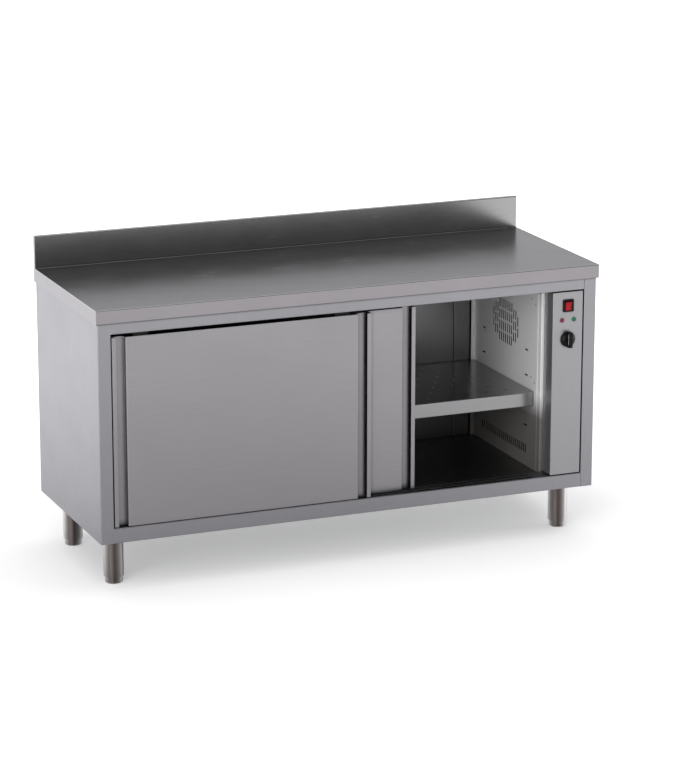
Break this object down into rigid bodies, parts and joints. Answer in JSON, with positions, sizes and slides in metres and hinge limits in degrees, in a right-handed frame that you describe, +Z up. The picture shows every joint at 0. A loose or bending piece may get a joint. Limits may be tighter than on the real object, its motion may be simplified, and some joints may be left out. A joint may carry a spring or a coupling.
{
  "type": "plate warmer cabinet",
  "caption": "Stainless plate warmer cabinet with sliding doors, a perforated shelf, a fan-heated chamber, a control panel and a worktop with an upstand.",
  "frame": {"origin": "on the ground, under the middle of the whole cabinet's width and depth", "axes": "+X to the right seen from the front, +Y from the doors towards the wall, +Z up"},
  "size_m": [1.6, 0.614, 0.95],
  "materials": {
    "worktop_steel": "stainless sheet with a fine grain along the top",
    "body_steel": "stainless sheet with a fine upright grain",
    "door_steel": "stainless sheet with a fine grain across the door",
    "panel_steel": "stainless sheet with a fine upright grain",
    "chamber_steel": "bright stainless sheet, almost a mirror",
    "partition_steel": "satin stainless sheet with punched grilles",
    "shelf_steel": "bright stainless sheet with pressed holes",
    "galvanised_steel": "zinc-coated sheet",
    "mineral_wool": "matt fibre slab",
    "white_plastic": "moulded nylon",
    "black_plastic": "moulded, slightly glossy",
    "knob_plastic": "moulded, satin",
    "rocker_red": "clear red moulding",
    "lamp_red": "clear red lens",
    "lamp_green": "clear green lens",
    "motor_paint": "black enamel on laminations",
    "element_steel": "heat-browned tube",
    "leg_steel": "polished stainless tube"
  },
  "bodies": {
    "cabinet": {"worktop": "worktop_steel", "worktop_stiffeners": "galvanised_steel", "left_side_panel": "body_steel", "right_side_panel": "body_steel", "back_panel": "body_steel", "top_rail": "body_steel", "bottom_rail": "body_steel", "base_pan": "galvanised_steel", "chamber_floor": "chamber_steel", "chamber_ceiling": "chamber_steel", "left_inner_wall": "chamber_steel", "back_inner_wall": "chamber_steel", "back_corner_strip": "chamber_steel", "partition": "partition_steel", "left_insulation": "mineral_wool", "back_insulation": "mineral_wool", "floor_insulation": "mineral_wool", "door_track": "galvanised_steel", "bottom_guide": "galvanised_steel", "shelf": "shelf_steel", "shelf_brackets": "galvanised_steel", "air_duct": "galvanised_steel", "heating_element": "element_steel", "element_brackets": "galvanised_steel", "fan_motor": "motor_paint", "motor_bracket": "galvanised_steel", "terminal_block": "white_plastic", "cable_gland": "black_plastic", "control_panel": "panel_steel", "panel_brackets": "galvanised_steel", "switch_housing": "black_plastic", "red_pilot_lamp": "lamp_red", "green_pilot_lamp": "lamp_green", "thermostat": "white_plastic", "leg_plates": "galvanised_steel", "leg_screws": "galvanised_steel", "leg_tubes": "leg_steel", "leg_plugs": "black_plastic"},
    "front_door": {"front_door_skin": "door_steel", "front_door_back": "galvanised_steel", "front_door_core": "mineral_wool", "front_door_hangers": "galvanised_steel", "front_door_guides": "white_plastic"},
    "rear_door": {"rear_door_skin": "door_steel", "rear_door_back": "galvanised_steel", "rear_door_core": "mineral_wool", "rear_door_hangers": "galvanised_steel", "rear_door_guides": "white_plastic"},
    "front_left_roller": {"front_left_roller": "white_plastic"},
    "front_right_roller": {"front_right_roller": "white_plastic"},
    "rear_left_roller": {"rear_left_roller": "white_plastic"},
    "rear_right_roller": {"rear_right_roller": "white_plastic"},
    "rocker": {"switch_rocker": "rocker_red"},
    "knob": {"thermostat_knob": "knob_plastic"},
    "fan_wheel": {"fan_impeller": "galvanised_steel"},
    "foot_front_left": {"foot_front_left": "leg_steel"},
    "foot_front_right": {"foot_front_right": "leg_steel"},
    "foot_back_left": {"foot_back_left": "leg_steel"},
    "foot_back_right": {"foot_back_right": "leg_steel"}
  },
  "joints": [
    {"name": "front_door_slide", "type": "slide", "parent": "cabinet", "child": "front_door", "axis": [1, 0, 0], "range_m": [0, 0.592]},
    {"name": "rear_door_slide", "type": "slide", "parent": "cabinet", "child": "rear_door", "axis": [1, 0, 0], "range_m": [-0.1545, 0.4375]},
    {"name": "front_left_roller_spin", "type": "hinge", "parent": "front_door", "child": "front_left_roller", "pos_m": [-0.6615, -0.264, 0.7876], "axis": [0, 1, 0], "continuous": true},
    {"name": "front_right_roller_spin", "type": "hinge", "parent": "front_door", "child": "front_right_roller", "pos_m": [-0.0345, -0.264, 0.7876], "axis": [0, 1, 0], "continuous": true},
    {"name": "rear_left_roller_spin", "type": "hinge", "parent": "rear_door", "child": "rear_left_roller", "pos_m": [-0.507, -0.2375, 0.7876], "axis": [0, 1, 0], "continuous": true},
    {"name": "rear_right_roller_spin", "type": "hinge", "parent": "rear_door", "child": "rear_right_roller", "pos_m": [0.12, -0.2375, 0.7876], "axis": [0, 1, 0], "continuous": true},
    {"name": "rocker_tip", "type": "hinge", "parent": "cabinet", "child": "rocker", "pos_m": [0.702, -0.279, 0.729], "axis": [-1, 0, 0], "range_deg": [0, 16]},
    {"name": "knob_turn", "type": "hinge", "parent": "cabinet", "child": "knob", "pos_m": [0.702, -0.296, 0.624], "axis": [0, 1, 0], "range_deg": [0, 270]},
    {"name": "fan_spin", "type": "hinge", "parent": "cabinet", "child": "fan_wheel", "pos_m": [0.6902, 0.024, 0.6146], "axis": [-1, 0, 0], "continuous": true},
    {"name": "foot_front_left_height", "type": "slide", "parent": "cabinet", "child": "foot_front_left", "axis": [0, 0, -1], "range_m": [0, 0.03]},
    {"name": "foot_front_right_height", "type": "slide", "parent": "cabinet", "child": "foot_front_right", "axis": [0, 0, -1], "range_m": [0, 0.03]},
    {"name": "foot_back_left_height", "type": "slide", "parent": "cabinet", "child": "foot_back_left", "axis": [0, 0, -1], "range_m": [0, 0.03]},
    {"name": "foot_back_right_height", "type": "slide", "parent": "cabinet", "child": "foot_back_right", "axis": [0, 0, -1], "range_m": [0, 0.03]}
  ],
  "couplings": [
    {"joint": "front_left_roller_spin", "follows": "front_door_slide", "rad_per_m": 100},
    {"joint": "front_right_roller_spin", "follows": "front_door_slide", "rad_per_m": 100},
    {"joint": "rear_left_roller_spin", "follows": "rear_door_slide", "rad_per_m": 100},
    {"joint": "rear_right_roller_spin", "follows": "rear_door_slide", "rad_per_m": 100}
  ]
}
